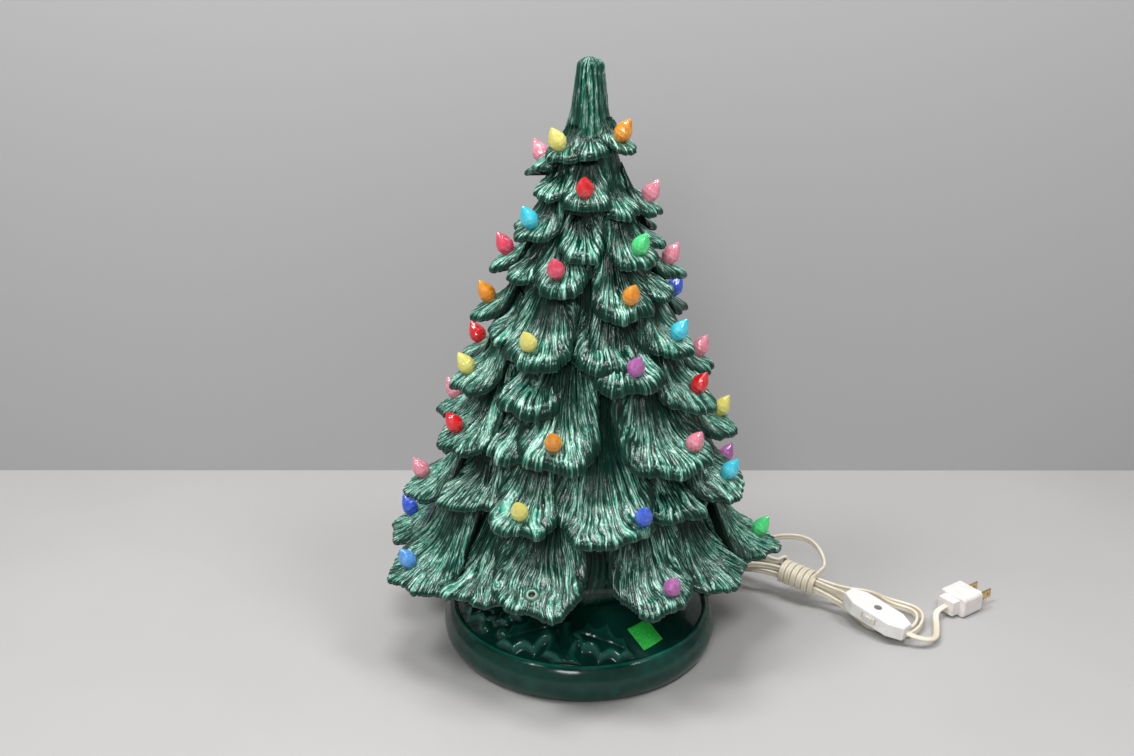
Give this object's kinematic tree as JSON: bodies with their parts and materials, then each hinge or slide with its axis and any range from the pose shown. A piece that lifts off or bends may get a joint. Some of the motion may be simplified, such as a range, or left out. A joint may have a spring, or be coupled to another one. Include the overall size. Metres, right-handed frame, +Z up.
{
  "type": "ceramic christmas tree",
  "caption": "Green glazed ceramic Christmas tree lamp: a hollow tree with plastic peg lights lifts off a round holly base with bulb, in-line switch and hanked cord.",
  "frame": {"origin": "middle of the base where it stands on the table", "axes": "+Z up the tree, -Y towards the front, +X to the right, where the cord lies"},
  "size_m": [0.4575, 0.2751, 0.42],
  "materials": {
    "green_glaze": "deep green gloss glaze, paler on the raised needles",
    "red_light": "translucent red",
    "rose_light": "translucent rose",
    "pink_light": "translucent pink",
    "orange_light": "translucent orange",
    "yellow_light": "translucent yellow",
    "green_light": "translucent green",
    "blue_light": "translucent blue",
    "sky_light": "translucent light blue",
    "aqua_light": "translucent aqua",
    "purple_light": "translucent purple",
    "socket_plastic": "dark moulded plastic",
    "spring_steel": "bright spring steel",
    "brass": "stamped brass",
    "bulb_glass": "clear glass",
    "black_glass": "black insulating glass with a soldered tip",
    "cord_ivory": "ivory flat cord",
    "white_plastic": "white moulded plastic",
    "green_paper": "bright green paper"
  },
  "bodies": {
    "base": {"base": "green_glaze", "sticker": "green_paper", "socket_body": "socket_plastic", "socket_clip": "spring_steel", "socket_sleeve": "brass", "socket_contact": "brass", "cord_inside": "cord_ivory", "cord_lead": "cord_ivory", "cord_wrap": "cord_ivory", "cord_hank": "cord_ivory", "cord_tail": "cord_ivory", "switch_upper_half": "white_plastic", "switch_lower_half": "white_plastic", "switch_rivet": "spring_steel", "switch_contacts": "brass", "plug_body": "white_plastic", "plug_blades": "brass"},
    "tree": {"tree_shell": "green_glaze", "back_lights_aqua": "aqua_light", "back_lights_blue": "blue_light", "back_lights_green": "green_light", "back_lights_orange": "orange_light", "back_lights_pink": "pink_light", "back_lights_purple": "purple_light", "back_lights_red": "red_light", "back_lights_yellow": "yellow_light"},
    "bulb": {"bulb_glass": "bulb_glass", "bulb_screw_shell": "brass", "bulb_tip": "black_glass", "bulb_mount": "bulb_glass"},
    "switch_wheel": {"switch_wheel": "white_plastic"},
    "light_01_yellow": {"light_01_yellow": "yellow_light"},
    "light_02_orange": {"light_02_orange": "orange_light"},
    "light_03_red": {"light_03_red": "red_light"},
    "light_04_pink": {"light_04_pink": "pink_light"},
    "light_05_aqua": {"light_05_aqua": "aqua_light"},
    "light_06_green": {"light_06_green": "green_light"},
    "light_07_rose": {"light_07_rose": "rose_light"},
    "light_08_rose": {"light_08_rose": "rose_light"},
    "light_09_pink": {"light_09_pink": "pink_light"},
    "light_10_orange": {"light_10_orange": "orange_light"},
    "light_11_orange": {"light_11_orange": "orange_light"},
    "light_12_blue": {"light_12_blue": "blue_light"},
    "light_13_yellow": {"light_13_yellow": "yellow_light"},
    "light_14_aqua": {"light_14_aqua": "aqua_light"},
    "light_15_purple": {"light_15_purple": "purple_light"},
    "light_16_yellow": {"light_16_yellow": "yellow_light"},
    "light_17_red": {"light_17_red": "red_light"},
    "light_18_yellow": {"light_18_yellow": "yellow_light"},
    "light_19_orange": {"light_19_orange": "orange_light"},
    "light_20_red": {"light_20_red": "red_light"},
    "light_21_pink": {"light_21_pink": "pink_light"},
    "light_22_yellow": {"light_22_yellow": "yellow_light"},
    "light_23_blue": {"light_23_blue": "blue_light"},
    "light_24_aqua": {"light_24_aqua": "aqua_light"},
    "light_25_pink": {"light_25_pink": "pink_light"},
    "light_26_sky": {"light_26_sky": "sky_light"},
    "light_27_purple": {"light_27_purple": "purple_light"},
    "light_28_green": {"light_28_green": "green_light"}
  },
  "joints": [
    {"name": "tree_lift", "type": "slide", "parent": "base", "child": "tree", "axis": [0, 0, 1], "range_m": [0, 0.09]},
    {"name": "bulb_unscrew", "type": "hinge", "parent": "base", "child": "bulb", "pos_m": [0, 0, 0.04], "axis": [0, 0, 1], "range_deg": [0, 1080]},
    {"name": "switch_turn", "type": "hinge", "parent": "base", "child": "switch_wheel", "pos_m": [0.21724, 0.00605, 0.0146], "axis": [0.0998, -0.097, 0.9903], "continuous": true},
    {"name": "light_01_yellow_pull", "type": "slide", "parent": "tree", "child": "light_01_yellow", "axis": [-0.3657, -0.341, 0.866], "range_m": [0, 0.012]},
    {"name": "light_02_orange_pull", "type": "slide", "parent": "tree", "child": "light_02_orange", "axis": [0.424, -0.265, 0.866], "range_m": [0, 0.012]},
    {"name": "light_03_red_pull", "type": "slide", "parent": "tree", "child": "light_03_red", "axis": [-0.0262, -0.4993, 0.866], "range_m": [0, 0.012]},
    {"name": "light_04_pink_pull", "type": "slide", "parent": "tree", "child": "light_04_pink", "axis": [0.4993, 0.0262, 0.866], "range_m": [0, 0.012]},
    {"name": "light_05_aqua_pull", "type": "slide", "parent": "tree", "child": "light_05_aqua", "axis": [-0.4145, -0.2796, 0.866], "range_m": [0, 0.012]},
    {"name": "light_06_green_pull", "type": "slide", "parent": "tree", "child": "light_06_green", "axis": [0.3473, -0.3597, 0.866], "range_m": [0, 0.012]},
    {"name": "light_07_rose_pull", "type": "slide", "parent": "tree", "child": "light_07_rose", "axis": [-0.1792, -0.4668, 0.866], "range_m": [0, 0.012]},
    {"name": "light_08_rose_pull", "type": "slide", "parent": "tree", "child": "light_08_rose", "axis": [-0.4963, 0.0609, 0.866], "range_m": [0, 0.012]},
    {"name": "light_09_pink_pull", "type": "slide", "parent": "tree", "child": "light_09_pink", "axis": [0.4924, 0.0868, 0.866], "range_m": [0, 0.012]},
    {"name": "light_10_orange_pull", "type": "slide", "parent": "tree", "child": "light_10_orange", "axis": [0.2424, -0.4373, 0.866], "range_m": [0, 0.012]},
    {"name": "light_11_orange_pull", "type": "slide", "parent": "tree", "child": "light_11_orange", "axis": [-0.4993, 0.0262, 0.866], "range_m": [0, 0.012]},
    {"name": "light_12_blue_pull", "type": "slide", "parent": "tree", "child": "light_12_blue", "axis": [0.4494, 0.2192, 0.866], "range_m": [0, 0.012]},
    {"name": "light_13_yellow_pull", "type": "slide", "parent": "tree", "child": "light_13_yellow", "axis": [-0.2575, -0.4286, 0.866], "range_m": [0, 0.012]},
    {"name": "light_14_aqua_pull", "type": "slide", "parent": "tree", "child": "light_14_aqua", "axis": [0.4373, -0.2424, 0.866], "range_m": [0, 0.012]},
    {"name": "light_15_purple_pull", "type": "slide", "parent": "tree", "child": "light_15_purple", "axis": [0.2192, -0.4494, 0.866], "range_m": [0, 0.012]},
    {"name": "light_16_yellow_pull", "type": "slide", "parent": "tree", "child": "light_16_yellow", "axis": [-0.4851, -0.121, 0.866], "range_m": [0, 0.012]},
    {"name": "light_17_red_pull", "type": "slide", "parent": "tree", "child": "light_17_red", "axis": [0.4568, -0.2034, 0.866], "range_m": [0, 0.012]},
    {"name": "light_18_yellow_pull", "type": "slide", "parent": "tree", "child": "light_18_yellow", "axis": [0.4993, 0.0262, 0.866], "range_m": [0, 0.012]},
    {"name": "light_19_orange_pull", "type": "slide", "parent": "tree", "child": "light_19_orange", "axis": [-0.104, -0.4891, 0.866], "range_m": [0, 0.012]},
    {"name": "light_20_red_pull", "type": "slide", "parent": "tree", "child": "light_20_red", "axis": [-0.4568, -0.2034, 0.866], "range_m": [0, 0.012]},
    {"name": "light_21_pink_pull", "type": "slide", "parent": "tree", "child": "light_21_pink", "axis": [0.3886, -0.3147, 0.866], "range_m": [0, 0.012]},
    {"name": "light_22_yellow_pull", "type": "slide", "parent": "tree", "child": "light_22_yellow", "axis": [-0.1873, -0.4636, 0.866], "range_m": [0, 0.012]},
    {"name": "light_23_blue_pull", "type": "slide", "parent": "tree", "child": "light_23_blue", "axis": [0.1873, -0.4636, 0.866], "range_m": [0, 0.012]},
    {"name": "light_24_aqua_pull", "type": "slide", "parent": "tree", "child": "light_24_aqua", "axis": [0.4728, -0.1628, 0.866], "range_m": [0, 0.012]},
    {"name": "light_25_pink_pull", "type": "slide", "parent": "tree", "child": "light_25_pink", "axis": [-0.4993, 0.0262, 0.866], "range_m": [0, 0.012]},
    {"name": "light_26_sky_pull", "type": "slide", "parent": "tree", "child": "light_26_sky", "axis": [-0.4603, -0.1954, 0.866], "range_m": [0, 0.012]},
    {"name": "light_27_purple_pull", "type": "slide", "parent": "tree", "child": "light_27_purple", "axis": [0.2424, -0.4373, 0.866], "range_m": [0, 0.012]},
    {"name": "light_28_green_pull", "type": "slide", "parent": "tree", "child": "light_28_green", "axis": [0.4993, 0.0262, 0.866], "range_m": [0, 0.012]}
  ]
}
